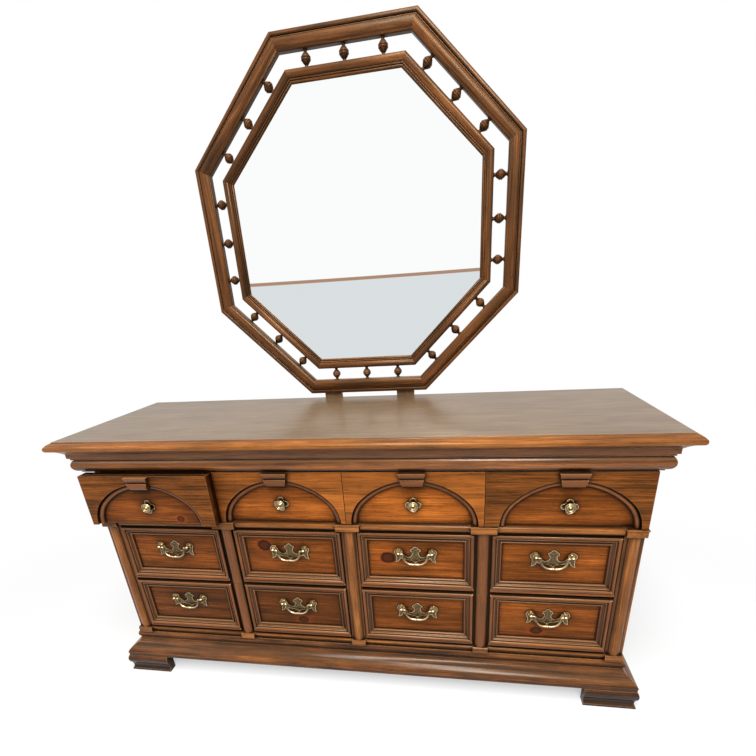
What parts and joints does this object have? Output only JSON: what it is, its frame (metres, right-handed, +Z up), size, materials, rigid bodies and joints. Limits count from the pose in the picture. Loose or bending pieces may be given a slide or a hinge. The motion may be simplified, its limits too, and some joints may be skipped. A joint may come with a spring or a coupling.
{
  "type": "dresser with mirror",
  "caption": "Long low pine dresser with arched small drawers over wide drawers, moulded plinth and bracket feet, and an octagonal gallery mirror behind its top.",
  "frame": {"origin": "on the floor, halfway across the width, and halfway through the depth over the top slab and the mirror supports", "axes": "+X to the object's right as seen from the front, +Y from the drawer fronts towards the wall, +Z up"},
  "size_m": [1.71, 0.546, 1.855],
  "materials": {
    "case_wood": "satin lacquer over brown glazed pine",
    "front_wood": "satin lacquer over orange-brown pine",
    "top_wood": "glossy lacquer over brown pine",
    "drawer_wood": "clear sealed pale softwood",
    "inner_wood": "raw softwood",
    "board": "raw brown hardboard",
    "brass": "antiqued cast brass",
    "mirror": "silvered glass",
    "steel": "zinc plated"
  },
  "bodies": {
    "case": {"top_slab": "top_wood", "cornice": "case_wood", "case_sides": "case_wood", "back_panel": "board", "case_bottom": "inner_wood", "face_frame": "case_wood", "partitions": "inner_wood", "web_frames": "inner_wood", "ledge_moulding": "case_wood", "pilaster_blocks": "case_wood", "case_pilasters": "case_wood", "plinth": "case_wood", "feet": "case_wood", "mirror_outer_frame": "case_wood", "mirror_inner_frame": "case_wood", "gallery_spindles": "case_wood", "mirror_glass": "mirror", "mirror_backing": "board", "mirror_supports": "inner_wood", "support_screws": "steel"},
    "small_drawer_1": {"small_drawer_1_front": "front_wood", "small_drawer_1_arch_trim": "case_wood", "small_drawer_1_box": "drawer_wood", "small_drawer_1_knob": "brass"},
    "small_drawer_2": {"small_drawer_2_front": "front_wood", "small_drawer_2_arch_trim": "case_wood", "small_drawer_2_box": "drawer_wood", "small_drawer_2_knob": "brass"},
    "small_drawer_3": {"small_drawer_3_front": "front_wood", "small_drawer_3_arch_trim": "case_wood", "small_drawer_3_box": "drawer_wood", "small_drawer_3_knob": "brass"},
    "small_drawer_4": {"small_drawer_4_front": "front_wood", "small_drawer_4_arch_trim": "case_wood", "small_drawer_4_box": "drawer_wood", "small_drawer_4_knob": "brass"},
    "middle_left_drawer": {"middle_left_drawer_front": "front_wood", "middle_left_drawer_trim": "case_wood", "middle_left_drawer_box": "drawer_wood", "middle_left_drawer_pull_plates": "brass"},
    "middle_left_drawer_bail_1": {"middle_left_drawer_bail_1": "brass"},
    "middle_left_drawer_bail_2": {"middle_left_drawer_bail_2": "brass"},
    "middle_right_drawer": {"middle_right_drawer_front": "front_wood", "middle_right_drawer_trim": "case_wood", "middle_right_drawer_box": "drawer_wood", "middle_right_drawer_pull_plates": "brass"},
    "middle_right_drawer_bail_1": {"middle_right_drawer_bail_1": "brass"},
    "middle_right_drawer_bail_2": {"middle_right_drawer_bail_2": "brass"},
    "lower_left_drawer": {"lower_left_drawer_front": "front_wood", "lower_left_drawer_trim": "case_wood", "lower_left_drawer_box": "drawer_wood", "lower_left_drawer_pull_plates": "brass"},
    "lower_left_drawer_bail_1": {"lower_left_drawer_bail_1": "brass"},
    "lower_left_drawer_bail_2": {"lower_left_drawer_bail_2": "brass"},
    "lower_right_drawer": {"lower_right_drawer_front": "front_wood", "lower_right_drawer_trim": "case_wood", "lower_right_drawer_box": "drawer_wood", "lower_right_drawer_pull_plates": "brass"},
    "lower_right_drawer_bail_1": {"lower_right_drawer_bail_1": "brass"},
    "lower_right_drawer_bail_2": {"lower_right_drawer_bail_2": "brass"}
  },
  "joints": [
    {"name": "small_drawer_1_slide", "type": "slide", "parent": "case", "child": "small_drawer_1", "axis": [0, -1, 0], "range_m": [-0.031, 0.249]},
    {"name": "small_drawer_2_slide", "type": "slide", "parent": "case", "child": "small_drawer_2", "axis": [0, -1, 0], "range_m": [0, 0.28]},
    {"name": "small_drawer_3_slide", "type": "slide", "parent": "case", "child": "small_drawer_3", "axis": [0, -1, 0], "range_m": [0, 0.28]},
    {"name": "small_drawer_4_slide", "type": "slide", "parent": "case", "child": "small_drawer_4", "axis": [0, -1, 0], "range_m": [0, 0.28]},
    {"name": "middle_left_drawer_slide", "type": "slide", "parent": "case", "child": "middle_left_drawer", "axis": [0, -1, 0], "range_m": [0, 0.28]},
    {"name": "middle_left_drawer_bail_1_hinge", "type": "hinge", "parent": "middle_left_drawer", "child": "middle_left_drawer_bail_1", "pos_m": [-0.57212, -0.216, 0.49025], "axis": [-1, 0, 0], "range_deg": [0, 90]},
    {"name": "middle_left_drawer_bail_2_hinge", "type": "hinge", "parent": "middle_left_drawer", "child": "middle_left_drawer_bail_2", "pos_m": [-0.19137, -0.216, 0.49025], "axis": [-1, 0, 0], "range_deg": [0, 90]},
    {"name": "middle_right_drawer_slide", "type": "slide", "parent": "case", "child": "middle_right_drawer", "axis": [0, -1, 0], "range_m": [0, 0.28]},
    {"name": "middle_right_drawer_bail_1_hinge", "type": "hinge", "parent": "middle_right_drawer", "child": "middle_right_drawer_bail_1", "pos_m": [0.19137, -0.216, 0.49025], "axis": [-1, 0, 0], "range_deg": [0, 90]},
    {"name": "middle_right_drawer_bail_2_hinge", "type": "hinge", "parent": "middle_right_drawer", "child": "middle_right_drawer_bail_2", "pos_m": [0.57212, -0.216, 0.49025], "axis": [-1, 0, 0], "range_deg": [0, 90]},
    {"name": "lower_left_drawer_slide", "type": "slide", "parent": "case", "child": "lower_left_drawer", "axis": [0, -1, 0], "range_m": [0, 0.28]},
    {"name": "lower_left_drawer_bail_1_hinge", "type": "hinge", "parent": "lower_left_drawer", "child": "lower_left_drawer_bail_1", "pos_m": [-0.57212, -0.216, 0.292], "axis": [-1, 0, 0], "range_deg": [0, 90]},
    {"name": "lower_left_drawer_bail_2_hinge", "type": "hinge", "parent": "lower_left_drawer", "child": "lower_left_drawer_bail_2", "pos_m": [-0.19137, -0.216, 0.292], "axis": [-1, 0, 0], "range_deg": [0, 90]},
    {"name": "lower_right_drawer_slide", "type": "slide", "parent": "case", "child": "lower_right_drawer", "axis": [0, -1, 0], "range_m": [0, 0.28]},
    {"name": "lower_right_drawer_bail_1_hinge", "type": "hinge", "parent": "lower_right_drawer", "child": "lower_right_drawer_bail_1", "pos_m": [0.19137, -0.216, 0.292], "axis": [-1, 0, 0], "range_deg": [0, 90]},
    {"name": "lower_right_drawer_bail_2_hinge", "type": "hinge", "parent": "lower_right_drawer", "child": "lower_right_drawer_bail_2", "pos_m": [0.57212, -0.216, 0.292], "axis": [-1, 0, 0], "range_deg": [0, 90]}
  ]
}
